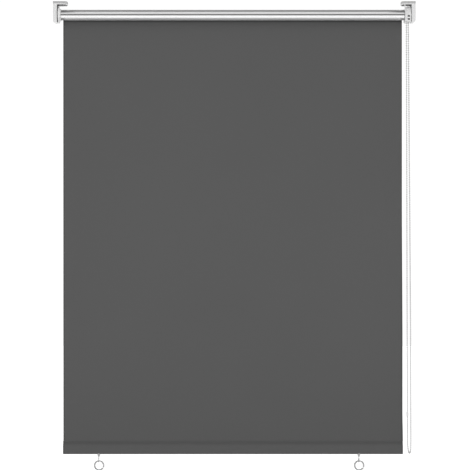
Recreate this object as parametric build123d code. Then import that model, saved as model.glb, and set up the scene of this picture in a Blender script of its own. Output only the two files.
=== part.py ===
from build123d import *

import math
import os

# Roller blind, 90 x 120 cm, in millimetres. X runs along the roller, from the idle end to the chain end,
# Y points to the wall behind the blind and Z up. Z = 0 is the ceiling face of the two brackets.

# Brackets and their covers
OUTER_X = 479.3  # outer face of each cover, from the middle
PLATE_T = 2.0  # sheet steel of the brackets
BRACKET_DEPTH = 34.0
BRACKET_HEIGHT = 55.0
BRACKET_FOOT_R = 4.0
FLANGE_REACH = 37.2  # from the outer face to the flange's free end
FLANGE_CORNER_R = 10.0
FLANGE_FACE = 8.5  # height of the cover's face along the flange
SIDE_FACE = 10.4  # width of the cover's face along the side plate
COVER_WALL = 2.0
COVER_EDGE_R = 0.6
COVER_GAP = 0.1  # between a cover and the bracket it snaps on
RIM_DEPTH = 5.5  # turned-down rim round the bracket's flange
IDLE_FOOT_R = 2.2  # lower outer corner of the cover at the idle end
CHAIN_FOOT_R = 5.5  # the same at the chain end
SCREW_HOLE_R = 2.25
SCREW_X = 457.5
SCREW_SPACING_Y = 16.0
CUT = 1.0  # how far a cut runs past the face that it opens

# Roller
AXIS_Z = -34.3
TUBE_R = 14.0
TUBE_WALL = 1.3
TUBE_X0, TUBE_X1 = -458.7, 450.4
GROOVE_SLOT = 1.6  # width of the slit in the tube's skin
GROOVE_R = 1.7  # keyhole behind the slit
GROOVE_WALL = 0.8
GROOVE_CENTRE_R = 11.9  # keyhole's centre, from the roller's axis
SPLINE_INSET = 4.0  # the cloth's strip stops this far inside the tube's ends
FIT = 0.05  # radial running clearance of shafts
SLIDE_GAP = 0.3  # between bodies that move past each other

# Idle end
HOLDER_R = 22.0
HOLDER_X0, HOLDER_X1 = -475.2, -459.4
HOLDER_DISC_X = -466.0  # back of the visible disc
HOLDER_RIM_X = -463.2  # its front, where the hub starts
HOLDER_HUB_R = 16.2
HOLDER_STUB_R = 14.6
HOLDER_EDGE_R = 1.2
HOLDER_SOCKET_END = 1.0  # room past the pin's tip
RIVET_Y = 9.0
RIVET_R = 1.5
RIVET_HEAD_R = 2.6
RIVET_HEAD_T = 0.8
IDLE_PIN_R = 3.0
PIN_TIP_X = -470.0
PIN_COLLAR_X = -450.0
PIN_COLLAR_T = 3.0
PIN_STEM_R = 1.6
PIN_STEM_L = 10.0
PIN_TIP_CHAMFER = 0.8
PIN_COLLAR_GAP = 0.1  # round the collar
PIN_BUTT = 0.5  # the shank stops this far short of the collar's back
PLUG_X1 = -418.0
PLUG_CAVITY_R = 5.6
PLUG_FLUTES = 6
FLUTE_W = 3.2
FLUTE_FLOOR_R = 10.6
FLUTE_END_WALLS = (6.0, 4.0)
SPRING_WIRE_R = 0.45
SPRING_R = 4.2
SPRING_TURNS = 8
CAP_T = 3.0
CAP_HOLE_GAP = 0.4

# Chain end
SHAFT_R = 7.0
SHAFT_X0 = 400.0
SHAFT_SOCKET_DEPTH = 22.0
SHAFT_SOCKET_R = 4.8
SHAFT_SEAT = 1.0  # how far the shaft sits in the case
SHAFT_SCREW_R = 1.9
SHAFT_SCREW_HEAD_T = 3.0
HEX_R = 1.4
HEX_DEPTH = 1.6
RETAINER_X = 402.0
RETAINER_T = 1.0
RETAINER_PLAY = 0.05
RETAINER_DEPTH = 0.8  # groove in the shaft
RETAINER_STAND = 1.2
RETAINER_OPENING = 4.0
WRAP_SPRING_X = (414.0, 428.0)
WRAP_SPRING_L = 9.6
WRAP_WIRE_R = 0.55
WRAP_TURNS = 7
WRAP_GAP = 0.13
CROWN_X0 = 406.0
CROWN_X1 = 451.0
CROWN_BORE_R = 8.4
CROWN_BUSH_L = 5.0
CROWN_BUSH_INSET = 8.0  # the second bush, from the tube's end
CROWN_BUSH_BITE = 0.2
CROWN_COLLAR_R = 13.6
CHAIN_X = 459.6  # plane of the chain wheel
WHEEL_PITCH_R = 15.28  # sixteen beads, 6 mm apart
WHEEL_R = 17.3
WHEEL_W = 7.6
WHEEL_HUB_R = 10.6
WHEEL_RIBS = 16
WHEEL_GROOVE_GAP = 0.35  # between a bead and the groove
RIB_NOTCH_R = 1.2
RIB_NOTCH_CENTRE_R = 15.6
RIB_NOTCH_DEPTH = 0.8
GUARD_R = 21.6
GUARD_WALL = 2.2
GUARD_X0, GUARD_X1 = 451.4, 464.4
GUARD_MOUTH_R = 12.2
GUARD_EDGE_R = 0.8
GUARD_BAND = (453.4, 457.6)  # sunk band round the guard
GUARD_BAND_DEPTH = 1.2
GUARD_RIM_DEPTH = 2.2  # how far the rim beside the roller is stepped in
SKIRT_SIDE = 5.6  # from a strand's centre to the skirt's outside
SKIRT_TOP_Z = -42.3
SKIRT_FOOT_R = 2.0
EXIT_HALF_X = 3.6
EXIT_HALF_Y = 3.4
CASE_X1 = 466.4
CASE_SPACER_R = 13.0
GUARD_SCREWS = ((0.0, -19.6), (14.4, 13.7), (-14.4, 13.7))  # Y and Z from the roller's axis
GUARD_SCREW_R = 1.0
GUARD_SCREW_HEAD_T = 1.2
GUARD_SCREW_START = 5.0  # from the guard's face
GUARD_BOSS_R = 1.9
WINDOW_X = (457.9, 463.7)
WINDOW_H = 4.2
WINDOW_Z = (-39.7, -48.0)
INSERT_Y = (-19.9, -18.75)  # front and back of the dark inserts that close the windows
LATCH_X = (450.2, 452.8)
LATCH_Y = (-13.4, -9.8)
LATCH_TOP_Z = -7.5
LATCH_FOOT_R = 15.0  # its foot's height over the roller's axis
EXIT_Z = -55.2  # lower face of the chain exits

# Fabric and hem
FABRIC_X0, FABRIC_X1 = -456.0, 447.9
FABRIC_T = 0.5
FABRIC_Y = 14.55  # mid-plane of the cloth, behind the tube
HEM_TOP_Z = -1167.0
HEM_BOTTOM_Z = -1200.5
HEM_X0, HEM_X1 = -456.2, 449.2
HEM_FOOT = 1.3  # pocket wall under and over the bar
HEM_LOOSE = 0.1  # between the bar and the pocket
FABRIC_ROOT = 1.0  # the cloth starts this far above the roller's axis
HEM_T = 8.0  # thickness of the pocket over the bar
BAR_T = 6.0
BAR_WALL = 1.2
BAR_H = 20.0
BAR_CAP_T = 2.5
BAR_CAP_STUB = 8.0
BAR_Z = HEM_BOTTOM_Z + HEM_FOOT + BAR_H / 2  # middle of the bar
FACE_LAND = 0.02  # keeps a sliver of flat between two full rounds

# Eye screws and split rings
EYE_X = (-361.2, 332.0)
EYE_TURN = (5.0, 12.0)  # degrees about the vertical
EYE_WIRE_R = 1.3
EYE_R = 4.5
EYE_Z = -1218.8
SHANK_R = 1.6
SHANK_TOP = 12.0  # above the hem's lower edge
SHANK_GAP = 0.1
COLLAR_R = 4.0
COLLAR_FOOT_R = 2.6
COLLAR_H = 7.0
COLLAR_LAND = 1.0  # its straight upper part
COLLAR_GAP = 0.05
RING_R = 12.0
RING_W = 2.8  # radial width of the split ring
RING_T = 2.4  # its thickness, two turns of flat wire
RING_EDGE_R = 0.8
RING_DROP = 1.5  # the ring's wire below the eye's centre
NUT_R = 3.2
NUT_T = 3.4
NUT_LIFT = 5.0  # above the hem's lower edge

# Bead chain
BEAD_R = 2.25
CONNECTOR_R = 3.1
CONNECTOR_BORE_R = 2.4
CONNECTOR_L = 13.0
CONNECTOR_EDGE_R = 0.6
CONNECTOR_Z = -1096.0
CORNER_SHARE = 0.45  # of a run, taken by the arc at its end

# The chain hangs from the front exit, turns round at the bottom and rises to the rear exit. Limp, 4.5 mm.
CHAIN_ROUTE = (
    (460.0, -15.3, EXIT_Z),
    (466.0, -14.7, -790.0),
    (466.9, -14.3, -1108.0),
    (467.0, -15.1, -1161.0),
    (466.6, -15.0, -1187.6),
    (465.6, -6.2, -1196.6),
    (464.1, 6.2, -1196.6),
    (462.8, 15.0, -1187.4),
    (462.0, 15.4, -1160.0),
    (461.5, 14.6, -1112.0),
    (458.9, 15.3, EXIT_Z),
)


def write(shape, node):
    """Write one sub-part to its own STEP file."""
    shape.label = node
    export_step(shape, f"parts/{node}.step")


def block(x0, x1, y0, y1, z0, z1):
    """A box between two corners."""
    centre = ((x0 + x1) / 2, (y0 + y1) / 2, (z0 + z1) / 2)
    return Pos(*centre) * Box(abs(x1 - x0), abs(y1 - y0), abs(z1 - z0))


def rod(x0, x1, radius, y=0.0, z=AXIS_Z):
    """A cylinder along X."""
    return Pos((x0 + x1) / 2, y, z) * Rot(0, 90, 0) * Cylinder(radius, abs(x1 - x0))


def post(x, y, z0, z1, radius):
    """A cylinder along Z."""
    return Pos(x, y, (z0 + z1) / 2) * Cylinder(radius, abs(z1 - z0))


def turned(angle):
    """The turn by an angle about the roller's axis."""
    return Pos(0, 0, AXIS_Z) * Rot(angle, 0, 0) * Pos(0, 0, -AXIS_Z)


def mirrored(shape):
    """The same shape at the other end."""
    return mirror(shape, about=Plane.YZ)


def flange_outline(inset, z0, z1):
    """Plan outline of the chain-end flange, with rounded inner corners, as a slab."""
    x1 = OUTER_X - inset
    x0 = OUTER_X - FLANGE_REACH + inset
    depth = BRACKET_DEPTH - 2 * inset
    slab = block(x0, x1, -depth / 2, depth / 2, z0, z1)
    corners = slab.edges().filter_by(Axis.Z).group_by(Axis.X)[0]
    return fillet(corners, FLANGE_CORNER_R - inset)


def bracket(side_holes):
    """Chain-end bracket: a pressed steel angle with its flange's rim turned down and (y, radius) side holes."""
    inner = COVER_WALL + COVER_GAP
    half = BRACKET_DEPTH / 2 - inner
    side_x1 = OUTER_X - inner
    flange = flange_outline(0.0, -RIM_DEPTH, 0.0) - flange_outline(inner, -RIM_DEPTH - CUT, -PLATE_T)
    side = block(side_x1 - PLATE_T, side_x1, -half, half, -BRACKET_HEIGHT + inner, -PLATE_T)
    foot = side.edges().filter_by(Axis.X).group_by(Axis.Z)[0]
    body = flange + fillet(foot, BRACKET_FOOT_R)
    for y, radius in side_holes:
        body -= rod(side_x1 - PLATE_T - CUT, side_x1 + CUT, radius, y=y)
    for y in (-SCREW_SPACING_Y / 2, SCREW_SPACING_Y / 2):
        body -= post(SCREW_X, y, -PLATE_T - CUT, CUT, SCREW_HOLE_R)
    return body


def cover(foot_r):
    """Chain-end cover: a white shell under the flange's rim and round the side, foot and rear."""
    half = BRACKET_DEPTH / 2
    top = -RIM_DEPTH - COVER_GAP
    arm = flange_outline(0.0, -FLANGE_FACE, top)
    leg = block(OUTER_X - SIDE_FACE, OUTER_X, -half, half, -BRACKET_HEIGHT, top)
    shell = arm + leg
    foot = shell.edges().filter_by(Axis.Y).sort_by(Axis.Z)[:2].sort_by(Axis.X)[-1]
    shell = fillet(foot, foot_r)
    front = shell.faces().sort_by(Axis.Y)[0].outer_wire().edges()
    shell = fillet(front, COVER_EDGE_R)
    hollow = flange_outline(COVER_WALL, -FLANGE_FACE - CUT, 0)
    hollow += block(
        OUTER_X - SIDE_FACE - CUT, OUTER_X - COVER_WALL, COVER_WALL - half, half - COVER_WALL,
        COVER_WALL - BRACKET_HEIGHT, 0,
    )
    return shell - hollow


def keyhole(side, radius, slot):
    """The space of one keyhole groove along the tube: round inside, with a slit through the skin."""
    centre = side * GROOVE_CENTRE_R
    outer = side * (TUBE_R + CUT)
    length_x0, length_x1 = TUBE_X0 - CUT, TUBE_X1 + CUT
    hole = rod(length_x0, length_x1, radius, y=centre)
    slit = block(length_x0, length_x1, min(centre, outer), max(centre, outer), AXIS_Z - slot / 2, AXIS_Z + slot / 2)
    return hole + slit


def roller_tube():
    """Aluminium tube with a keyhole groove in front and another behind."""
    tube = rod(TUBE_X0, TUBE_X1, TUBE_R) - rod(TUBE_X0 - CUT, TUBE_X1 + CUT, TUBE_R - TUBE_WALL)
    for side in (-1, 1):
        wall = rod(TUBE_X0, TUBE_X1, GROOVE_R + GROOVE_WALL, y=side * GROOVE_CENTRE_R)
        tube += wall & rod(TUBE_X0, TUBE_X1, TUBE_R)
    for side in (-1, 1):
        tube -= keyhole(side, GROOVE_R, GROOVE_SLOT)
    return tube


def tube_filler(x0, x1):
    """A solid that fills the tube's bore round its two grooves."""
    body = rod(x0, x1, TUBE_R - TUBE_WALL - FIT)
    for side in (-1, 1):
        body -= rod(x0 - CUT, x1 + CUT, GROOVE_R + GROOVE_WALL + FIT, y=side * GROOVE_CENTRE_R)
    return body


def idle_plug():
    """Ribbed plug in the idle end, bored for the sprung pin."""
    plug = tube_filler(TUBE_X0, PLUG_X1)
    flute_x0, flute_x1 = TUBE_X0 + FLUTE_END_WALLS[0], PLUG_X1 - FLUTE_END_WALLS[1]
    flute = block(flute_x0, flute_x1, -FLUTE_W / 2, FLUTE_W / 2, AXIS_Z + FLUTE_FLOOR_R, AXIS_Z + TUBE_R)
    for i in range(PLUG_FLUTES):
        plug -= turned((i + 0.5) * 360 / PLUG_FLUTES) * flute
    plug -= rod(TUBE_X0 - CUT, PIN_COLLAR_X, IDLE_PIN_R + FIT)
    plug -= rod(PIN_COLLAR_X - PIN_COLLAR_T, PLUG_X1 + CUT, PLUG_CAVITY_R)
    return plug


def idle_pin():
    """Pin with a collar and a stem that guides the spring."""
    pin = rod(PIN_TIP_X, PIN_COLLAR_X - PIN_BUTT, IDLE_PIN_R)
    pin = chamfer(pin.edges().sort_by(Axis.X)[0], PIN_TIP_CHAMFER)
    pin += rod(PIN_COLLAR_X - PIN_COLLAR_T + FIT, PIN_COLLAR_X, PLUG_CAVITY_R - PIN_COLLAR_GAP)
    pin += rod(PIN_COLLAR_X, PIN_COLLAR_X + PIN_STEM_L, PIN_STEM_R)
    return pin


def coil(x0, x1, radius, wire_r, turns):
    """A helical spring along the roller's axis."""
    pitch = (x1 - x0) / turns
    path = Helix(pitch=pitch, height=x1 - x0, radius=radius, center=(x0, 0, AXIS_Z), direction=(1, 0, 0))
    section = Plane(origin=path @ 0, z_dir=path % 0) * Circle(wire_r)
    return sweep(section, path=path, is_frenet=True)


def spring_cap():
    """Cap that closes the spring's cavity."""
    cap = rod(PLUG_X1 - CAP_T, PLUG_X1, PLUG_CAVITY_R)
    return cap - rod(PLUG_X1 - CAP_T - CUT, PLUG_X1 + CUT, PIN_STEM_R + CAP_HOLE_GAP)


def idle_holder():
    """Round plastic holder on the idle bracket, with a socket for the pin."""
    disc = rod(HOLDER_DISC_X, HOLDER_RIM_X, HOLDER_R)
    disc = fillet(disc.edges().sort_by(Axis.X)[-1], HOLDER_EDGE_R)
    hub = rod(HOLDER_DISC_X, HOLDER_X1, HOLDER_HUB_R)
    hub = fillet(hub.edges().sort_by(Axis.X)[-1], HOLDER_EDGE_R)
    body = disc + hub + rod(HOLDER_X0, HOLDER_DISC_X, HOLDER_STUB_R)
    body -= rod(PIN_TIP_X - HOLDER_SOCKET_END, HOLDER_X1 + CUT, IDLE_PIN_R + FIT)
    for y in (-RIVET_Y, RIVET_Y):
        body -= rod(HOLDER_X0 - CUT, HOLDER_X1 + CUT, RIVET_R, y=y)
        body -= rod(HOLDER_X1 - RIVET_HEAD_T, HOLDER_X1 + CUT, RIVET_HEAD_R, y=y)
    return body


def idle_rivets():
    """Two rivets that hold the idle holder to its bracket."""
    rivets = []
    for y in (-RIVET_Y, RIVET_Y):
        rivet = rod(HOLDER_X0 - PLATE_T, HOLDER_X1 - RIVET_HEAD_T, RIVET_R, y=y)
        rivet += rod(HOLDER_X1 - RIVET_HEAD_T, HOLDER_X1, RIVET_HEAD_R, y=y)
        rivets.append(rivet)
    return Compound(children=rivets)


def clutch_shaft():
    """Fixed shaft that carries the drive crown and the wrap springs."""
    shaft = rod(SHAFT_X0, GUARD_X1 + SHAFT_SEAT, SHAFT_R)
    shaft -= rod(SHAFT_X0 - CUT, SHAFT_X0 + SHAFT_SOCKET_DEPTH, SHAFT_SOCKET_R)
    shaft -= rod(SHAFT_X0, GUARD_X1 + SHAFT_SEAT + CUT, SHAFT_SCREW_R)
    groove = rod(RETAINER_X, RETAINER_X + RETAINER_T + 2 * RETAINER_PLAY, SHAFT_R + CUT)
    core = rod(RETAINER_X - CUT, RETAINER_X + RETAINER_T + 2 * CUT, SHAFT_R - RETAINER_DEPTH)
    return shaft - (groove - core)


def retaining_ring():
    """Split ring in the shaft's groove, ahead of the drive crown."""
    x0, x1 = RETAINER_X + RETAINER_PLAY, RETAINER_X + RETAINER_PLAY + RETAINER_T
    half = RETAINER_OPENING / 2
    ring = rod(x0, x1, SHAFT_R + RETAINER_STAND)
    ring -= rod(x0 - CUT, x1 + CUT, SHAFT_R - RETAINER_DEPTH + RETAINER_PLAY)
    return ring - block(x0 - CUT, x1 + CUT, -half, half, AXIS_Z, AXIS_Z + SHAFT_R + 2 * RETAINER_STAND)


def clutch_screw():
    """Screw along the shaft's axis into the bracket's side plate."""
    seat = SHAFT_X0 + SHAFT_SOCKET_DEPTH
    screw = rod(seat, OUTER_X - COVER_WALL - COVER_GAP, SHAFT_SCREW_R)
    head = rod(seat - SHAFT_SCREW_HEAD_T, seat, 2 * SHAFT_SCREW_R)
    head -= rod(seat - SHAFT_SCREW_HEAD_T - CUT, seat - SHAFT_SCREW_HEAD_T + HEX_DEPTH, HEX_R)
    return screw + head


def wrap_springs():
    """Two wrap springs on the shaft, which lock the roller against the blind's weight."""
    radius = SHAFT_R + WRAP_WIRE_R + WRAP_GAP
    coils = []
    for x0 in WRAP_SPRING_X:
        coils.append(coil(x0, x0 + WRAP_SPRING_L, radius, WRAP_WIRE_R, WRAP_TURNS))
    return Compound(children=coils)


def drive_crown():
    """Crown that fills the tube's chain end and turns it."""
    crown = tube_filler(CROWN_X0, TUBE_X1)
    crown -= rod(CROWN_X0 - CUT, TUBE_X1 + CUT, CROWN_BORE_R)
    for x0 in (CROWN_X0, TUBE_X1 - CROWN_BUSH_INSET):
        x1 = x0 + CROWN_BUSH_L
        crown += rod(x0, x1, CROWN_BORE_R + CROWN_BUSH_BITE) - rod(x0 - CUT, x1 + CUT, SHAFT_R + FIT)
    collar = rod(TUBE_X1, CROWN_X1, CROWN_COLLAR_R) - rod(TUBE_X1 - CUT, CROWN_X1 + CUT, SHAFT_R + FIT)
    return crown + collar


def chain_wheel():
    """Grooved wheel with ribs that catch the beads."""
    x0, x1 = CHAIN_X - WHEEL_W / 2, CHAIN_X + WHEEL_W / 2
    room = BEAD_R + WHEEL_GROOVE_GAP
    wheel = rod(x0, x1, WHEEL_R)
    wheel -= Pos(CHAIN_X, 0, AXIS_Z) * Rot(0, 90, 0) * Torus(WHEEL_PITCH_R, room)
    wheel -= rod(CHAIN_X - room, CHAIN_X + room, WHEEL_R + CUT) - rod(x0 - CUT, x1 + CUT, WHEEL_PITCH_R)
    for i in range(WHEEL_RIBS):
        for x in (x0, x1):
            notch = rod(x - RIB_NOTCH_DEPTH, x + RIB_NOTCH_DEPTH, RIB_NOTCH_R, z=AXIS_Z + RIB_NOTCH_CENTRE_R)
            wheel -= turned((i + 0.5) * 360 / WHEEL_RIBS) * notch
    wheel += rod(CROWN_X1, x0, WHEEL_HUB_R)
    return wheel - rod(CROWN_X1 - CUT, x1 + CUT, SHAFT_R + FIT)


def chain_exit(y):
    """The way a chain strand takes out of the guard."""
    z0 = EXIT_Z - 2 * CUT
    return block(CHAIN_X - EXIT_HALF_X, CHAIN_X + EXIT_HALF_X, y - EXIT_HALF_Y, y + EXIT_HALF_Y, z0, AXIS_Z)


def guard_outline(x0, x1, inset=0.0):
    """Round housing with a skirt below for the two chain exits."""
    half = WHEEL_PITCH_R + SKIRT_SIDE - inset
    skirt = block(x0, x1, -half, half, EXIT_Z + inset, SKIRT_TOP_Z)
    feet = skirt.edges().filter_by(Axis.X).group_by(Axis.Z)[0]
    return rod(x0, x1, GUARD_R - inset) + fillet(feet, SKIRT_FOOT_R)


def window(z, y0, y1):
    """The block of one small window in the guard's front."""
    return block(*WINDOW_X, y0, y1, z - WINDOW_H / 2, z + WINDOW_H / 2)


def chain_guard():
    """White guard round the chain wheel: two exits below, two small windows in front and a sunk band."""
    guard = guard_outline(GUARD_X0, GUARD_X1)
    guard -= guard_outline(*GUARD_BAND, inset=-CUT) - guard_outline(*GUARD_BAND, inset=GUARD_BAND_DEPTH)
    rim = (GUARD_X0, GUARD_BAND[0])
    guard -= guard_outline(*rim, inset=-CUT) - guard_outline(*rim, inset=GUARD_RIM_DEPTH)
    guard = fillet(guard.faces().sort_by(Axis.X)[0].outer_wire().edges(), GUARD_EDGE_R)
    guard -= rod(GUARD_X0 + GUARD_WALL, GUARD_X1 + CUT, GUARD_R - GUARD_WALL)
    guard -= rod(GUARD_X0 - CUT, GUARD_X1, GUARD_MOUTH_R)
    for y in (-WHEEL_PITCH_R, WHEEL_PITCH_R):
        guard -= chain_exit(y)
    for z in WINDOW_Z:
        guard -= window(z, -GUARD_R - CUT, -WHEEL_PITCH_R)
    guard += block(*LATCH_X, *LATCH_Y, AXIS_Z + LATCH_FOOT_R, LATCH_TOP_Z)
    for y, z in GUARD_SCREWS:
        boss = rod(GUARD_X0 + GUARD_WALL / 2, GUARD_X1, GUARD_BOSS_R, y=y, z=AXIS_Z + z)
        guard += boss & guard_outline(GUARD_X0, GUARD_X1, inset=COVER_GAP)
        guard -= rod(GUARD_X0 + GUARD_SCREW_START - CUT, GUARD_X1 + CUT, GUARD_SCREW_R, y=y, z=AXIS_Z + z)
    return guard


def guard_inserts():
    """Dark inserts that close the guard's windows from inside."""
    return Compound(children=[window(z, *INSERT_Y) for z in WINDOW_Z])


def guard_screws():
    """Screws that close the clutch case."""
    screws = []
    for y, z in GUARD_SCREWS:
        screw = rod(GUARD_X0 + GUARD_SCREW_START, CASE_X1, GUARD_SCREW_R, y=y, z=AXIS_Z + z)
        screw += rod(CASE_X1, CASE_X1 + GUARD_SCREW_HEAD_T, 2 * GUARD_SCREW_R, y=y, z=AXIS_Z + z)
        screws.append(screw)
    return Compound(children=screws)


def clutch_case():
    """Back plate of the clutch, held off the bracket by a spacer."""
    spacer_x1 = OUTER_X - COVER_WALL - COVER_GAP - PLATE_T
    case = guard_outline(GUARD_X1, CASE_X1) + rod(CASE_X1, spacer_x1, CASE_SPACER_R)
    case -= rod(GUARD_X1 - CUT, GUARD_X1 + SHAFT_SEAT, SHAFT_R)
    case -= rod(GUARD_X1 - CUT, OUTER_X, SHAFT_SCREW_R)
    for y, z in GUARD_SCREWS:
        case -= rod(GUARD_X1 - CUT, CASE_X1 + CUT, GUARD_SCREW_R, y=y, z=AXIS_Z + z)
    return case


def fabric_spline():
    """Plastic strip that locks the cloth in the rear groove."""
    return rod(TUBE_X0 + SPLINE_INSET, TUBE_X1 - SPLINE_INSET, GROOVE_R - SLIDE_GAP, y=GROOVE_CENTRE_R)


def fabric_panel():
    """The cloth from the tube to the hem."""
    y0, y1 = FABRIC_Y - FABRIC_T / 2, FABRIC_Y + FABRIC_T / 2
    return block(FABRIC_X0, FABRIC_X1, y0, y1, HEM_TOP_Z + SLIDE_GAP, AXIS_Z + FABRIC_ROOT)


def flat_oval(x0, x1, height, thick):
    """A bar of flat oval section along X, in the hem's middle."""
    bar = block(x0, x1, FABRIC_Y - thick / 2, FABRIC_Y + thick / 2, BAR_Z - height / 2, BAR_Z + height / 2)
    return fillet(bar.edges().filter_by(Axis.X), thick / 2 - FACE_LAND)


def hem_pocket():
    """The welded pocket, open at both ends."""
    pocket = flat_oval(HEM_X0, HEM_X1, BAR_H + 2 * HEM_FOOT, HEM_T)
    pocket += block(HEM_X0, HEM_X1, FABRIC_Y - FABRIC_T, FABRIC_Y + FABRIC_T, BAR_Z, HEM_TOP_Z)
    pocket -= flat_oval(HEM_X0 - CUT, HEM_X1 + CUT, BAR_H + 2 * HEM_LOOSE, BAR_T + 2 * HEM_LOOSE)
    for x in EYE_X:
        pocket -= post(x, FABRIC_Y, HEM_BOTTOM_Z - CUT, HEM_BOTTOM_Z + NUT_LIFT, SHANK_R + SHANK_GAP)
    return pocket


def bottom_bar():
    """Aluminium bar of flat oval section with a hollow core."""
    x0, x1 = FABRIC_X0 + BAR_CAP_T, FABRIC_X1 - BAR_CAP_T
    bar = flat_oval(x0, x1, BAR_H, BAR_T)
    bar -= flat_oval(x0 - CUT, x1 + CUT, BAR_H - 2 * BAR_WALL, BAR_T - 2 * BAR_WALL)
    for x in EYE_X:
        bar -= post(x, FABRIC_Y, HEM_BOTTOM_Z, HEM_BOTTOM_Z + NUT_LIFT, SHANK_R)
    return bar


def bar_cap():
    """Plastic cap on the chain end of the bottom bar."""
    x1 = FABRIC_X1
    wall = BAR_WALL + FIT
    cap = flat_oval(x1 - BAR_CAP_T, x1, BAR_H, BAR_T)
    stub = flat_oval(x1 - BAR_CAP_T - BAR_CAP_STUB, x1 - BAR_CAP_T, BAR_H - 2 * wall, BAR_T - 2 * wall)
    return cap + stub


def eye_screw(x, turn):
    """Screw eye: threaded shank, conical collar under the hem and a closed eye."""
    shank = post(x, FABRIC_Y, EYE_Z + EYE_R, HEM_BOTTOM_Z + SHANK_TOP, SHANK_R)
    land_z = HEM_BOTTOM_Z - COLLAR_GAP - COLLAR_LAND
    collar = Pos(x, FABRIC_Y, land_z - COLLAR_H / 2) * Cone(COLLAR_FOOT_R, COLLAR_R, COLLAR_H)
    collar += post(x, FABRIC_Y, land_z, HEM_BOTTOM_Z - COLLAR_GAP, COLLAR_R)
    eye = Pos(x, FABRIC_Y, EYE_Z) * Rot(0, 0, turn) * Rot(0, 90, 0) * Torus(EYE_R, EYE_WIRE_R)
    return shank + collar + eye


def eye_nuts():
    """Square nuts inside the bottom bar that the eye screws thread into."""
    nuts = []
    z0, z1 = HEM_BOTTOM_Z + NUT_LIFT, HEM_BOTTOM_Z + NUT_LIFT + NUT_R
    for x in EYE_X:
        nut = block(x - NUT_R, x + NUT_R, FABRIC_Y - NUT_T / 2, FABRIC_Y + NUT_T / 2, z0, z1)
        nuts.append(nut - post(x, FABRIC_Y, z0 - CUT, z1 + CUT, SHANK_R))
    return Compound(children=nuts)


def split_ring(x):
    """Flat key ring hanging in an eye."""
    place = Pos(x, FABRIC_Y, EYE_Z - RING_DROP - RING_R) * Rot(90, 0, 0)
    ring = place * Cylinder(RING_R + RING_W / 2, RING_T)
    ring -= place * Cylinder(RING_R - RING_W / 2, RING_T + CUT)
    return fillet(ring.edges(), RING_EDGE_R)


def chain_radii():
    """Corner radii of the chain's route: a share of the shorter run over the tangent of half the turn."""
    radii = []
    points = [Vector(*p) for p in CHAIN_ROUTE]
    for before, here, after in zip(points, points[1:], points[2:]):
        run_in, run_out = here - before, after - here
        half_turn = math.radians(run_in.get_angle(run_out)) / 2
        radii.append(CORNER_SHARE * min(run_in.length, run_out.length) / math.tan(half_turn))
    return radii


def tube_along(path, radius):
    """A round tube swept along a path of lines and tangent arcs."""
    section = Plane(origin=path @ 0, z_dir=path % 0) * Circle(radius)
    return sweep(section, path=path)


def bead_chain():
    """The hanging loop of the chain as one plain tube."""
    radii = chain_radii()
    path = FilletPolyline(*CHAIN_ROUTE, radius=radii)
    chain = tube_along(path, BEAD_R)
    expected = math.pi * BEAD_R**2 * path.length
    print("chain radii, mm:", [round(r, 1) for r in radii])
    print("chain length, mm:", round(path.length, 1))
    print("chain volume over section x length:", round(chain.volume / expected, 4))
    return chain


def chain_upper():
    """The chain inside the guard: up from one exit, over the wheel and down to the other."""
    over = Pos(CHAIN_X, 0, AXIS_Z) * Rot(0, 90, 0) * Torus(WHEEL_PITCH_R, BEAD_R)
    chain = over & block(CHAIN_X - WHEEL_W, CHAIN_X + WHEEL_W, -GUARD_R, GUARD_R, AXIS_Z, AXIS_Z + GUARD_R)
    for end, y in ((CHAIN_ROUTE[0], -WHEEL_PITCH_R), (CHAIN_ROUTE[-1], WHEEL_PITCH_R)):
        foot, top = Vector(*end), Vector(CHAIN_X, y, AXIS_Z)
        strand = Plane(origin=foot, z_dir=top - foot)
        chain += Solid.make_cylinder(BEAD_R, (top - foot).length, strand)
    return chain


def chain_connector():
    """Sleeve that joins the chain's ends, on the rear strand."""
    low, high = Vector(*CHAIN_ROUTE[-2]), Vector(*CHAIN_ROUTE[-1])
    along = (high - low).normalized()
    centre = low + along * ((CONNECTOR_Z - low.Z) / along.Z)
    place = Plane(origin=centre, z_dir=along)
    print("connector axis:", [round(v, 6) for v in along])
    sleeve = Cylinder(CONNECTOR_R, CONNECTOR_L)
    sleeve = fillet(sleeve.edges(), CONNECTOR_EDGE_R)
    return place * (sleeve - Cylinder(CONNECTOR_BORE_R, CONNECTOR_L + 2 * CUT))


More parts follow.
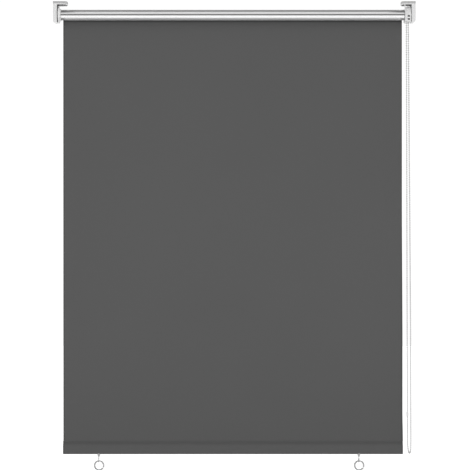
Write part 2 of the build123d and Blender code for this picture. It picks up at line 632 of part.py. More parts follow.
def main():
    os.makedirs("parts", exist_ok=True)
    write(bracket([(0.0, SHAFT_SCREW_R)]), "bracket_right")
    write(mirrored(bracket([(-RIVET_Y, RIVET_R), (RIVET_Y, RIVET_R)])), "bracket_left")
    write(cover(CHAIN_FOOT_R), "cover_right")
    write(mirrored(cover(IDLE_FOOT_R)), "cover_left")
    write(idle_holder(), "idle_holder")
    write(idle_rivets(), "idle_rivets")
    write(roller_tube(), "roller_tube")
    write(idle_plug(), "idle_plug")
    write(idle_pin(), "idle_pin")
    spring_x0, spring_x1 = PIN_COLLAR_X + SPRING_WIRE_R, PLUG_X1 - CAP_T - SPRING_WIRE_R
    write(coil(spring_x0, spring_x1, SPRING_R, SPRING_WIRE_R, SPRING_TURNS), "idle_spring")
    write(spring_cap(), "spring_cap")
    write(clutch_shaft(), "clutch_shaft")
    write(retaining_ring(), "retaining_ring")
    write(clutch_screw(), "clutch_screw")
    write(wrap_springs(), "wrap_springs")
    write(drive_crown(), "drive_crown")
    write(chain_wheel(), "chain_wheel")
    write(chain_guard(), "chain_guard")
    write(clutch_case(), "clutch_case")
    write(guard_inserts(), "guard_inserts")
    write(guard_screws(), "guard_screws")
    write(fabric_spline(), "fabric_spline")
    write(fabric_panel(), "fabric_panel")
    write(hem_pocket(), "hem_pocket")
    write(bottom_bar(), "bottom_bar")
    write(bar_cap(), "bar_cap_right")
    middle = Plane(origin=((FABRIC_X0 + FABRIC_X1) / 2, 0, 0), z_dir=(1, 0, 0))
    write(mirror(bar_cap(), about=middle), "bar_cap_left")
    write(eye_nuts(), "eye_nuts")
    for x, turn, side in zip(EYE_X, EYE_TURN, ("left", "right")):
        write(eye_screw(x, turn), f"eye_screw_{side}")
        write(split_ring(x), f"ring_{side}")
    write(bead_chain(), "bead_chain")
    write(chain_upper(), "chain_upper")
    write(chain_connector(), "chain_connector")


main()
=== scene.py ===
import math

import bpy
import numpy as np
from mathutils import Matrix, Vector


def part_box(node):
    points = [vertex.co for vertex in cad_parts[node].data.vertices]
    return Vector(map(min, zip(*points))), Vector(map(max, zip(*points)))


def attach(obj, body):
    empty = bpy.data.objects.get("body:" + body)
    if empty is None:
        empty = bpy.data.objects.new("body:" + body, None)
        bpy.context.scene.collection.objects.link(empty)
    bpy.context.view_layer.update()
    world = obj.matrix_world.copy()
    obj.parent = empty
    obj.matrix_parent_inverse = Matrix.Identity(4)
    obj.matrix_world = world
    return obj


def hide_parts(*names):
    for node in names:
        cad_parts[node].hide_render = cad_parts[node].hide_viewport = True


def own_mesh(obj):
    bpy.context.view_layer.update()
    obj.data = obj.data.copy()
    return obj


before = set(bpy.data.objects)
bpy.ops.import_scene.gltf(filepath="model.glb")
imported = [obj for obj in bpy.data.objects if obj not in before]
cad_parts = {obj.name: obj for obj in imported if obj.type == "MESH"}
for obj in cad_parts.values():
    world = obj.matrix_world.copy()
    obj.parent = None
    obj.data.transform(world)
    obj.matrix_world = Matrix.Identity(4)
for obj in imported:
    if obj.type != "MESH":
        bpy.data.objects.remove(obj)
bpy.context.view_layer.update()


# Places read from the frame, in metres. X runs along the roller, Y away from the viewer, Z up.
TUBE_LOW, TUBE_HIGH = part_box("roller_tube")
AXIS_Z = (TUBE_LOW.z + TUBE_HIGH.z) / 2
TUBE_R = (TUBE_HIGH.z - TUBE_LOW.z) / 2
PANEL_LOW, PANEL_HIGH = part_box("fabric_panel")
HEM_LOW, HEM_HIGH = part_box("hem_pocket")
BAR_LOW, BAR_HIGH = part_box("bottom_bar")
CLOTH_Y = (PANEL_LOW.y + PANEL_HIGH.y) / 2
CLOTH_T = 0.00045
HOLDER_DISC_X = -0.4660  # back of the idle holder's disc

# Chain: a loop of beads that leaves the guard in front and goes back into it behind
BEAD_D = 0.0045
BEAD_PITCH = 0.006
CHAIN_CORD_R = 0.0007
WIRE_SIDES = 8  # sides of the chain's cord and of the spring's wire
CHAIN_X = (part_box("chain_wheel")[0].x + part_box("chain_wheel")[1].x) / 2
WHEEL_PITCH_R = 0.01528
WHEEL_STEPS = 40
CHAIN_ROUTE = (
    (0.4600, -0.0153, -0.0552),
    (0.4660, -0.0147, -0.7900),
    (0.4669, -0.0143, -1.1080),
    (0.4670, -0.0151, -1.1610),
    (0.4666, -0.0150, -1.1876),
    (0.4656, -0.0062, -1.1966),
    (0.4641, 0.0062, -1.1966),
    (0.4628, 0.0150, -1.1874),
    (0.4620, 0.0154, -1.1600),
    (0.4615, 0.0146, -1.1120),
    (0.4589, 0.0153, -0.0552),
)

# Picture: the camera stands square to the blind, level with its middle
CAMERA_PLACE = (0.0019, -3.5, -0.6182)
PICTURE_WIDTH = 1.24785  # what the picture spans at the roller
SENSOR_MM = 36.0


def add_camera():
    data = bpy.data.cameras.new("camera")
    data.sensor_width = SENSOR_MM
    data.lens = SENSOR_MM * -CAMERA_PLACE[1] / PICTURE_WIDTH
    data.clip_end = 50.0
    camera = bpy.data.objects.new("camera", data)
    camera.location = CAMERA_PLACE
    camera.rotation_euler = (math.radians(90), 0, 0)
    bpy.context.scene.collection.objects.link(camera)
    bpy.context.scene.camera = camera


# ---------------------------------------------------------------- materials


class Surface:
    """A Principled material with small helpers for its procedural detail, in object coordinates."""

    def __init__(self, name, base, roughness, metallic=0.0, specular=0.5):
        self.material = bpy.data.materials.new(name)
        self.material.use_nodes = True
        self.nodes = self.material.node_tree.nodes
        self.links = self.material.node_tree.links
        self.shader = self.nodes["Principled BSDF"]
        self.shader.inputs["Base Color"].default_value = (*base, 1)
        self.shader.inputs["Roughness"].default_value = roughness
        self.shader.inputs["Metallic"].default_value = metallic
        self.shader.inputs["Specular IOR Level"].default_value = specular
        self.base = base
        self.coordinates = self.nodes.new("ShaderNodeTexCoord").outputs["Object"]
        self.height = None

    def join(self, output, socket):
        self.links.new(output, socket)

    def math(self, operation, a, b=None):
        node = self.nodes.new("ShaderNodeMath")
        node.operation = operation
        for socket, value in zip(node.inputs, (a, b)):
            if value is None:
                continue
            if isinstance(value, (int, float)):
                socket.default_value = value
            else:
                self.join(value, socket)
        return node.outputs[0]

    def noise(self, scale, stretch=(1, 1, 1), detail=2.0):
        """Noise with so many features a metre, drawn out along the axes with a small stretch."""
        mapping = self.nodes.new("ShaderNodeMapping")
        mapping.inputs["Scale"].default_value = stretch
        self.join(self.coordinates, mapping.inputs["Vector"])
        noise = self.nodes.new("ShaderNodeTexNoise")
        noise.inputs["Scale"].default_value = scale
        noise.inputs["Detail"].default_value = detail
        self.join(mapping.outputs["Vector"], noise.inputs["Vector"])
        return noise.outputs["Fac"]

    def remap(self, value, low, high, start=0.3, end=0.7):
        """Move a 0 to 1 value into low to high."""
        node = self.nodes.new("ShaderNodeMapRange")
        node.inputs["From Min"].default_value = start
        node.inputs["From Max"].default_value = end
        node.inputs["To Min"].default_value = low
        node.inputs["To Max"].default_value = high
        self.join(value, node.inputs["Value"])
        return node.outputs["Result"]

    def band(self, value, place, near, far):
        """0 where a value lies within near of a place, rising to 1 where it is far from it."""
        off = self.math("ABSOLUTE", self.math("SUBTRACT", value, place))
        return self.remap(off, 0, 1, start=near, end=far)

    def vary_colour(self, value, spread):
        """Lighten and darken the base colour by a share of itself."""
        mix = self.nodes.new("ShaderNodeMix")
        mix.data_type = "RGBA"
        mix.inputs["A"].default_value = (*[c * (1 - spread) for c in self.base], 1)
        mix.inputs["B"].default_value = (*[min(1, c * (1 + spread)) for c in self.base], 1)
        self.join(self.remap(value, 0, 1), mix.inputs["Factor"])
        self.join(mix.outputs["Result"], self.shader.inputs["Base Color"])

    def darken(self, share, factor):
        """Multiply the colour by factor where share is 0 and leave it where share is 1."""
        mix = self.nodes.new("ShaderNodeMix")
        mix.data_type = "RGBA"
        mix.blend_type = "MULTIPLY"
        mix.inputs["Factor"].default_value = 1
        tone = self.remap(share, factor, 1, start=0, end=1)
        grey = self.nodes.new("ShaderNodeCombineColor")
        for socket in grey.inputs[:3]:
            self.join(tone, socket)
        old = self.shader.inputs["Base Color"].links[0].from_socket
        self.join(old, mix.inputs["A"])
        self.join(grey.outputs[0], mix.inputs["B"])
        self.join(mix.outputs["Result"], self.shader.inputs["Base Color"])

    def vary_roughness(self, value, low, high):
        self.join(self.remap(value, low, high), self.shader.inputs["Roughness"])

    def bump(self, height, distance, strength=1.0):
        node = self.nodes.new("ShaderNodeBump")
        node.inputs["Strength"].default_value = strength
        node.inputs["Distance"].default_value = distance
        self.join(height, node.inputs["Height"])
        if self.height is not None:
            self.join(self.height, node.inputs["Normal"])
        self.height = node.outputs["Normal"]
        self.join(self.height, self.shader.inputs["Normal"])

    def separate(self):
        node = self.nodes.new("ShaderNodeSeparateXYZ")
        self.join(self.coordinates, node.inputs[0])
        return node.outputs


def moulded(name, base, roughness, grain=900.0, depth=0.00003):
    """Moulded plastic: faint flow marks, a fine spark-eroded grain and uneven gloss."""
    surface = Surface(name, base, roughness)
    surface.vary_colour(surface.noise(35.0, detail=3.0), 0.02)
    surface.vary_roughness(surface.noise(120.0), roughness - 0.05, roughness + 0.07)
    surface.bump(surface.noise(grain, detail=2.0), depth)
    return surface.material


# Cloth: lengths in metres, tones as shares of the cloth's own colour
THREAD_PITCH = 0.0007
THREAD_DEPTH = 0.00006
SLUB_DEPTH = 0.0002
EDGE_FADE, EDGE_FULL, EDGE_TONE = 0.0045, 0.0025, 0.78  # the hot-cut side edges, measured inwards
TUBE_SHADOW_FULL, TUBE_SHADOW_FADE, TUBE_SHADOW_TONE = 0.0010, 0.0022, 0.6  # painted shadow that the tube casts on the cloth just below it
WELD_SHADE_FULL, WELD_SHADE_FADE, WELD_SHADE_TONE = 0.0015, 0.0075, 0.85  # painted shade along the weld, in its groove and on the pocket's slope below
RIB_PITCH = 0.0016  # ribs pressed across the weld
RIB_DEPTH = 0.0002
RIB_BAND = (0.0022, 0.003)  # how far the ribs reach from the weld's middle


def cloth_material(name, base, edges, weld_z=None, tube_shadow_z=None):
    """Plain weave of coated polyester: threads, slubs, a dull sheen, darker side edges, and either painted shade
    along a weld or a painted shadow under the tube.
    """
    surface = Surface(name, base, 0.82, specular=0.18)
    x, _, z = surface.separate()
    warp = surface.math("SINE", surface.math("MULTIPLY", x, 2 * math.pi / THREAD_PITCH))
    weft = surface.math("SINE", surface.math("MULTIPLY", z, 2 * math.pi / THREAD_PITCH))
    weave = surface.math("MULTIPLY", warp, weft)
    slub = surface.noise(60.0, stretch=(1, 1, 12), detail=2.0)
    cross_slub = surface.noise(60.0, stretch=(12, 1, 1), detail=2.0)
    both = surface.math("MULTIPLY", surface.math("ADD", slub, cross_slub), 0.5)
    cloud = surface.noise(3.0, detail=2.0)
    tone = surface.math("ADD", surface.math("MULTIPLY", both, 0.6), surface.math("MULTIPLY", cloud, 0.4))
    surface.vary_colour(tone, 0.035)
    middle, half = (edges[0] + edges[1]) / 2, (edges[1] - edges[0]) / 2
    side = surface.math("ABSOLUTE", surface.math("SUBTRACT", x, middle))
    surface.darken(surface.remap(side, 1, 0, start=half - EDGE_FADE, end=half - EDGE_FULL), EDGE_TONE)
    if tube_shadow_z is not None:
        # painted shadow of the tube on the cloth just below it
        surface.darken(surface.band(z, tube_shadow_z, TUBE_SHADOW_FULL, TUBE_SHADOW_FADE), TUBE_SHADOW_TONE)
    if weld_z is not None:
        # painted shade along the weld
        surface.darken(surface.band(z, weld_z, WELD_SHADE_FULL, WELD_SHADE_FADE), WELD_SHADE_TONE)
        ribs = surface.math("SINE", surface.math("MULTIPLY", x, 2 * math.pi / RIB_PITCH))
        off = surface.math("ABSOLUTE", surface.math("SUBTRACT", z, weld_z))
        inside = surface.remap(off, 1, 0, start=RIB_BAND[0], end=RIB_BAND[1])
        surface.bump(surface.math("MULTIPLY", ribs, inside), RIB_DEPTH, 0.5)
    surface.bump(weave, THREAD_DEPTH, 0.5)
    surface.bump(both, SLUB_DEPTH, 0.25)
    surface.shader.inputs["Sheen Weight"].default_value = 0.06
    surface.shader.inputs["Sheen Roughness"].default_value = 0.6
    return surface.material


# Tube: lengths in metres, heights from its axis, tones as shares of the aluminium's own colour
SKIN_BAND = (0.0009, 0.0003)  # painted shade: deeper than the first below the outer skin it is fully dark, above the second not at all
BORE_SHADE_TONE = 0.1
# Stripes of painted reflection near both ends, where the tube mirrors the dark brackets and cloth: height, how far
# from it they are all dark, how far they reach, then the places from a tube end where they have faded out and
# where they are full
END_REFLECTION_STRIPES = ((0.0064, 0.0014, 0.0032, 0.045, 0.003), (-0.0124, 0.0014, 0.0026, 0.012, 0.006))
REFLECTION_STRIPE_TONE = 0.3
# painted shade in the grooves: a dark band at the axis's height
GROOVE_UP = -0.0002
GROOVE_FULL, GROOVE_FADE, GROOVE_SHADE_TONE = 0.0009, 0.0013, 0.08


def aluminium_material(name, base):
    """Extruded aluminium with fine die lines, with painted shade in its grooves and bore and stripes of painted
    reflection near both ends.
    """
    surface = Surface(name, base, 0.22, metallic=0.62)
    lines = surface.noise(900.0, stretch=(0.002, 1, 1), detail=3.0)
    x, y, z = surface.separate()
    up = surface.math("SUBTRACT", z, AXIS_Z)
    square_sum = surface.math("ADD", surface.math("MULTIPLY", y, y), surface.math("MULTIPLY", up, up))
    out = surface.math("SQRT", square_sum)
    skin = surface.remap(out, 0, 1, start=TUBE_R - SKIN_BAND[0], end=TUBE_R - SKIN_BAND[1])
    surface.vary_colour(surface.noise(8.0, detail=2.0), 0.015)
    # painted shade inside the grooves and the bore
    surface.darken(skin, BORE_SHADE_TONE)
    middle, half = (TUBE_LOW.x + TUBE_HIGH.x) / 2, (TUBE_HIGH.x - TUBE_LOW.x) / 2
    from_middle = surface.math("ABSOLUTE", surface.math("SUBTRACT", x, middle))
    # painted reflection: dark stripes near both ends
    for height, full, reach, faded_out, all_dark in END_REFLECTION_STRIPES:
        inboard = surface.remap(from_middle, 1, 0, start=half - faded_out, end=half - all_dark)
        beside = surface.band(up, height, full, reach)
        surface.darken(surface.math("MAXIMUM", inboard, beside), REFLECTION_STRIPE_TONE)
    # painted shade in the grooves
    surface.darken(surface.band(up, GROOVE_UP, GROOVE_FULL, GROOVE_FADE), GROOVE_SHADE_TONE)
    surface.vary_roughness(lines, 0.2, 0.3)
    surface.bump(lines, 0.00001, 0.4)
    return surface.material


def plated_material(name, base, roughness):
    """Bright plated wire: small dimples and uneven gloss."""
    surface = Surface(name, base, roughness, metallic=1.0)
    surface.vary_colour(surface.noise(300.0), 0.03)
    surface.vary_roughness(surface.noise(700.0), roughness - 0.05, roughness + 0.08)
    surface.bump(surface.noise(1200.0), 0.00002, 0.4)
    return surface.material


UNDERSIDE_SHADE_SLOPES = (-0.7, -0.4)  # painted shade on faces turned down, by the up part of a face's direction: fully dark below the first, none above the second
UNDERSIDE_SHADE_TONE = 0.25


def coated_steel_material(name, base):
    """Powder-coated sheet steel with a fine orange peel and painted shade on its faces that turn down."""
    surface = Surface(name, base, 0.5)
    surface.vary_colour(surface.noise(200.0), 0.05)
    normal = surface.nodes.new("ShaderNodeNewGeometry").outputs["True Normal"]
    split = surface.nodes.new("ShaderNodeSeparateXYZ")
    surface.join(normal, split.inputs[0])
    unshaded = surface.remap(split.outputs["Z"], 0, 1, start=UNDERSIDE_SHADE_SLOPES[0], end=UNDERSIDE_SHADE_SLOPES[1])
    # painted shade on faces turned down
    surface.darken(unshaded, UNDERSIDE_SHADE_TONE)
    surface.vary_roughness(surface.noise(400.0), 0.42, 0.6)
    surface.bump(surface.noise(1500.0, detail=3.0), 0.00004, 0.6)
    return surface.material


STUB_SHADE_BAND = (0.0006, 0.0001)  # painted shade on the stub: how far behind the holder's disc it is all dark, and not at all
STUB_SHADE_TONE = 0.08


def holder_material(name, base):
    """Glossy white plastic of the idle holder, with painted shade on its stub where it meets the bracket."""
    surface = Surface(name, base, 0.3)
    surface.vary_colour(surface.noise(35.0, detail=3.0), 0.02)
    x = surface.separate()[0]
    disc = surface.remap(x, 0, 1, start=HOLDER_DISC_X - STUB_SHADE_BAND[0], end=HOLDER_DISC_X - STUB_SHADE_BAND[1])
    # painted shade on the stub, in the gap by the bracket
    surface.darken(disc, STUB_SHADE_TONE)
    surface.vary_roughness(surface.noise(120.0), 0.26, 0.38)
    surface.bump(surface.noise(900.0), 0.00002)
    return surface.material


WHITE_PLASTIC = moulded("white_plastic", (0.9, 0.9, 0.9), 0.4)
HOLDER_PLASTIC = holder_material("holder_plastic", (0.98, 0.98, 0.98))
GREY_PLASTIC = moulded("grey_plastic", (0.09, 0.09, 0.095), 0.5)
DARK_PLASTIC = moulded("dark_plastic", (0.02, 0.02, 0.022), 0.5)
BEAD_PLASTIC = moulded("bead_plastic", (0.69, 0.69, 0.69), 0.3, grain=1500.0, depth=0.00001)
CONNECTOR_PLASTIC = moulded("connector_plastic", (0.96, 0.96, 0.96), 0.25, grain=1500.0, depth=0.00001)
# how far below the tube the middle of its painted shadow lies
TUBE_SHADOW_BELOW = 0.0008
WELD_BELOW_TOP = 0.0052
CLOTH = cloth_material(
    "cloth", (0.1135, 0.1135, 0.1135), (PANEL_LOW.x, PANEL_HIGH.x), tube_shadow_z=AXIS_Z - TUBE_R - TUBE_SHADOW_BELOW,
)
HEM_CLOTH = cloth_material(
    "hem_cloth", (0.117, 0.117, 0.117), (HEM_LOW.x, HEM_HIGH.x), weld_z=HEM_HIGH.z - WELD_BELOW_TOP,
)
ALUMINIUM = aluminium_material("aluminium", (0.9, 0.9, 0.902))
NICKEL = plated_material("nickel", (0.48, 0.48, 0.48), 0.26)
BRIGHT_NICKEL = plated_material("bright_nickel", (0.66, 0.66, 0.66), 0.3)
ZINC = plated_material("zinc_plate", (0.62, 0.63, 0.66), 0.34)
BRACKET_STEEL = coated_steel_material("bracket_steel", (0.56, 0.56, 0.56))

NODE_MATERIALS = {
    WHITE_PLASTIC: ("cover_left", "cover_right", "chain_guard", "clutch_case"),
    GREY_PLASTIC: (
        "clutch_shaft", "drive_crown", "chain_wheel", "idle_plug", "spring_cap", "fabric_spline",
        "bar_cap_left", "bar_cap_right",
    ),
    DARK_PLASTIC: ("guard_inserts",),
    CONNECTOR_PLASTIC: ("chain_connector",),
    ALUMINIUM: ("roller_tube", "bottom_bar"),
    BRIGHT_NICKEL: ("eye_screw_left", "eye_screw_right"),
    ZINC: (
        "idle_rivets", "retaining_ring", "clutch_screw", "wrap_springs", "guard_screws", "idle_spring", "idle_pin",
        "eye_nuts",
    ),
    BRACKET_STEEL: ("bracket_left", "bracket_right"),
    HOLDER_PLASTIC: ("idle_holder",),
}


def dress_nodes():
    for material, names in NODE_MATERIALS.items():
        for name in names:
            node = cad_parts[name]
            node.data.materials.clear()
            node.data.materials.append(material)


# ---------------------------------------------------------------- mesh helpers


def add_mesh(name, points, faces, material, smooth=True):
    mesh = bpy.data.meshes.new(name)
    mesh.from_pydata([tuple(p) for p in points], [], faces)
    mesh.materials.append(material)
    mesh.polygons.foreach_set("use_smooth", [smooth] * len(mesh.polygons))
    mesh.update()
    piece = bpy.data.objects.new(name, mesh)
    bpy.context.scene.collection.objects.link(piece)
    return piece


def rod_faces(stations, sides, first=0, flipped=False):
    """Faces of a rod: rings of points at a row of stations, joined up, with a flat end at both ends."""
    faces = []
    for i in range(stations - 1):
        for j in range(sides):
            a, b = first + i * sides + j, first + i * sides + (j + 1) % sides
            faces.append((a, b, b + sides, a + sides))
    last = first + (stations - 1) * sides
    faces.append(tuple(first + j for j in reversed(range(sides))))
    faces.append(tuple(last + j for j in range(sides)))
    return [face[::-1] for face in faces] if flipped else faces


def sheet_faces(columns, rows, flipped=False):
    """Faces of a closed thin sheet: two skins, each a grid of points column by column, and the rims between."""
    shift = rows * (columns + 1)
    faces = []
    for c in range(columns):
        for r in range(rows - 1):
            a, b = c * rows + r, (c + 1) * rows + r
            faces.append((a, a + 1, b + 1, b))
            faces.append((shift + a, shift + b, shift + b + 1, shift + a + 1))
        for r in (0, rows - 1):
            a, b = c * rows + r, (c + 1) * rows + r
            edge = (a, b, shift + b, shift + a)
            faces.append(edge if r == 0 else edge[::-1])
    for c in (0, columns):
        for r in range(rows - 1):
            a = c * rows + r
            edge = (a, shift + a, shift + a + 1, a + 1)
            faces.append(edge if c == 0 else edge[::-1])
    return [face[::-1] for face in faces] if flipped else faces


def eased(value, start, end):
    """Smooth step from 0 at start to 1 at end."""
    t = min(1.0, max(0.0, (value - start) / (end - start)))
    return t * t * (3 - 2 * t)


def spline_points(route):
    """Points along the NURBS curve that a route controls."""
    curve = bpy.data.curves.new("route", "CURVE")
    curve.dimensions = "3D"
    curve.resolution_u = 96
    spline = curve.splines.new("NURBS")
    spline.points.add(len(route) - 1)
    for point, place in zip(spline.points, route):
        point.co = (*place, 1)
    spline.order_u = 3
    spline.use_endpoint_u = True
    holder = bpy.data.objects.new("route", curve)
    mesh = bpy.data.meshes.new_from_object(holder)
    points = np.array([v.co for v in mesh.vertices])
    bpy.data.objects.remove(holder)
    bpy.data.meshes.remove(mesh)
    bpy.data.curves.remove(curve)
    return points


DIRECTION_STEP = 1e-4  # how far either side of a place on a line its direction is measured


def resample(points, pitch, start=0.0):
    """Evenly spaced points and directions along a line of points."""
    steps = np.linalg.norm(np.diff(points, axis=0), axis=1)
    along = np.concatenate([[0], np.cumsum(steps)])
    places = np.arange(start, along[-1], pitch)
    found, ahead, back = (
        np.stack([np.interp(places + off, along, points[:, i]) for i in range(3)], axis=1)
        for off in (0, DIRECTION_STEP, -DIRECTION_STEP)
    )
    directions = ahead - back
    return found, directions / np.linalg.norm(directions, axis=1)[:, None]


def frames_along(directions):
    """Two unit vectors square to each direction."""
    side = np.cross(directions, np.array([1.0, 0.0, 0.0]))
    side /= np.linalg.norm(side, axis=1)[:, None]
    return side, np.cross(directions, side)


def tube_mesh(centres, directions, radius, sides):
    """Rings of points round a line, with faces between them and flat ends."""
    side, up = frames_along(directions)
    turn = np.arange(sides) * 2 * math.pi / sides
    ring = np.cos(turn)[None, :, None] * side[:, None, :] + np.sin(turn)[None, :, None] * up[:, None, :]
    points = (centres[:, None, :] + radius * ring).reshape(-1, 3)
    return points, rod_faces(len(centres), sides)


# ---------------------------------------------------------------- bead chain

BEAD_SIDES = 14
# Place along the chain and radius of a bead's rings, as shares of its radius: a ball with a faint mould seam
BEAD_PROFILE = (
    (-0.97, 0.28), (-0.86, 0.52), (-0.65, 0.76), (-0.36, 0.93), (-0.06, 0.99), (0.0, 1.0), (0.06, 0.99),
    (0.36, 0.93), (0.65, 0.76), (0.86, 0.52), (0.97, 0.28),
)


def bead_mesh(centres, directions, first):
    """All the beads of a stretch of chain."""
    side, up = frames_along(directions)
    turn = np.arange(BEAD_SIDES) * 2 * math.pi / BEAD_SIDES
    radius = BEAD_D / 2
    points, faces = [], []
    for centre, direction, s, u in zip(centres, directions, side, up):
        base = first + len(points)
        for along, out in BEAD_PROFILE:
            for a in turn:
                points.append(centre + radius * (along * direction + out * (math.cos(a) * s + math.sin(a) * u)))
        faces += rod_faces(len(BEAD_PROFILE), BEAD_SIDES, first=base)
    return np.array(points), faces


def chain_mesh(name, line, start):
    """A stretch of bead chain along a line of points: the cord and the beads on it."""
    centres, directions = resample(line, BEAD_PITCH / 2)
    cord, cord_faces = tube_mesh(centres, directions, CHAIN_CORD_R, WIRE_SIDES)
    centres, directions = resample(line, BEAD_PITCH, start)
    beads, bead_faces = bead_mesh(centres, directions, len(cord))
    return add_mesh(name, np.concatenate([cord, beads]), cord_faces + bead_faces, BEAD_PLASTIC)


def upper_line():
    """The chain inside the guard: up to the wheel, over it and down."""
    front, rear = np.array(CHAIN_ROUTE[0]), np.array(CHAIN_ROUTE[-1])
    over = [
        (CHAIN_X, -WHEEL_PITCH_R * math.cos(a), AXIS_Z + WHEEL_PITCH_R * math.sin(a))
        for a in np.linspace(0, math.pi, WHEEL_STEPS)
    ]
    return np.array([front, *over, rear])


def add_chain():
    line = spline_points(CHAIN_ROUTE)
    chain = chain_mesh("bead_loop", line, BEAD_PITCH / 2)
    upper = chain_mesh("beads_on_wheel", upper_line(), BEAD_PITCH / 2)
    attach(chain, "brackets")
    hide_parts("bead_chain")
    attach(upper, "brackets")
    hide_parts("chain_upper")


# ---------------------------------------------------------------- cloth

WAVE_HEIGHT = 0.0006  # how far the hanging cloth stands off its flat plane
# Faint folds: height as a share, waves along X in radians a metre, waves down the drop in radians, start
FOLDS = ((1.0, 9.0, 2.0, 0.0), (0.6, 23.0, 0.0, -1.3), (0.4, 4.0, 6.0, 0.0))
PANEL_TOP = AXIS_Z - 0.0006  # where the panel takes over from the cloth in the groove
LEFT_DRIFT = 0.0005  # how far the cloth's left edge leans to the right on its way down
RIGHT_SHY = 0.00105  # how far inside the cloth's box the right edge starts
RIGHT_DRIFT = 0.0017  # how far it steps out on its way down
STEP_START, STEP_END = 0.42, 0.8  # shares of the drop between which it does
RIGHT_FLARE = 0.00104  # and how far it flares just above the hem
FLARE_START = 0.93  # share of the drop where the flare begins
PANEL_COLUMNS = 90
PANEL_ROWS = 150


def cloth_wave(x, drop):
    """Stand-off of the hanging cloth, which fades at the tube (drop 0) and at the hem (drop 1)."""
    free = max(0.0, math.sin(math.pi * drop)) ** 0.7
    folds = sum(height * math.sin(across * x + down * drop + start) for height, across, down, start in FOLDS)
    return WAVE_HEIGHT * free * folds / 2


def panel_section(x):
    """Line of the cloth in Y and Z, straight down from the tube's back to the hem."""
    shares = [i / PANEL_ROWS for i in range(PANEL_ROWS + 1)]
    return [(CLOTH_Y + cloth_wave(x, share), PANEL_TOP + (HEM_HIGH.z - PANEL_TOP) * share) for share in shares]


def add_panel():
    """The hanging cloth: one closed thin sheet."""
    low, high = PANEL_LOW.x, PANEL_HIGH.x
    front, back = [], []
    for column in range(PANEL_COLUMNS + 1):
        line = panel_section(low + (high - low) * column / PANEL_COLUMNS)
        for i, (y, z) in enumerate(line):
            drop = (AXIS_Z - z) / (AXIS_Z - HEM_HIGH.z)
            left = low + LEFT_DRIFT * drop
            right = high - RIGHT_SHY + RIGHT_DRIFT * eased(drop, STEP_START, STEP_END)
            right += RIGHT_FLARE * eased(drop, FLARE_START, 1)
            x = left + (right - left) * column / PANEL_COLUMNS
            before, after = line[max(0, i - 1)], line[min(PANEL_ROWS, i + 1)]
            dy, dz = after[0] - before[0], after[1] - before[1]
            length = math.hypot(dy, dz)
            ny, nz = dz / length * CLOTH_T / 2, -dy / length * CLOTH_T / 2
            front.append((x, y + ny, z + nz))
            back.append((x, y - ny, z - nz))
    panel = add_mesh("cloth_panel", front + back, sheet_faces(PANEL_COLUMNS, PANEL_ROWS + 1), CLOTH, smooth=False)
    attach(panel, "brackets")
    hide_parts("fabric_panel")
    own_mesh(panel)
    return panel


# ---------------------------------------------------------------- cloth on the tube

# Line of the cloth's top edge in Y and Z, from the axis: out of the rear groove and down over its lip
ROOT_SECTION = (
    (0.0124, 0.0), (0.0132, 0.0001), (0.0139, 0.0001), (0.0143, -0.0002), (0.01453, -0.0008), (0.01455, -0.0016),
)
ROLL_R = 0.0183  # the roll's radius when the blind is up
ROLL_SIDES = 24
ROLL_KEEP = 0.9  # share of its thickness that a turn of cloth keeps as it moves out
ROLL_SLOTS = (0, ROLL_SIDES // 2)  # the sides that lie over the tube's grooves
WALL_LOW, WALL_HIGH = 0.0097, 0.0135  # where a side lies hidden in the tube, from the axis
CORE_LOW, CORE_HIGH = 0.0087, 0.0091  # and where it lies under a groove
ROLL_COLUMNS = 60
ROLL_INSET = 0.0003  # the roll's left side sits this far inside the cloth's
ROLL_ROUGHNESS = 0.00002  # spread of the roll's radius along it
ROLL_SEED = 11


def add_root():
    """The cloth's top edge, held in the rear groove and turned down over its lip."""
    points = []
    low, high = PANEL_LOW.x, PANEL_HIGH.x - RIGHT_SHY
    rows = len(ROOT_SECTION)
    for side in (CLOTH_T / 2, -CLOTH_T / 2):
        for c in range(ROLL_COLUMNS + 1):
            x = low + (high - low) * c / ROLL_COLUMNS
            for i, (y, up) in enumerate(ROOT_SECTION):
                a, b = ROOT_SECTION[max(0, i - 1)], ROOT_SECTION[min(rows - 1, i + 1)]
                length = math.hypot(b[0] - a[0], b[1] - a[1])
                ny, nz = -(b[1] - a[1]) / length, (b[0] - a[0]) / length
                points.append((x, y + side * ny, AXIS_Z + up + side * nz))
    root = add_mesh("cloth_root", points, sheet_faces(ROLL_COLUMNS, rows, flipped=True), CLOTH, smooth=False)
    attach(root, "roller")


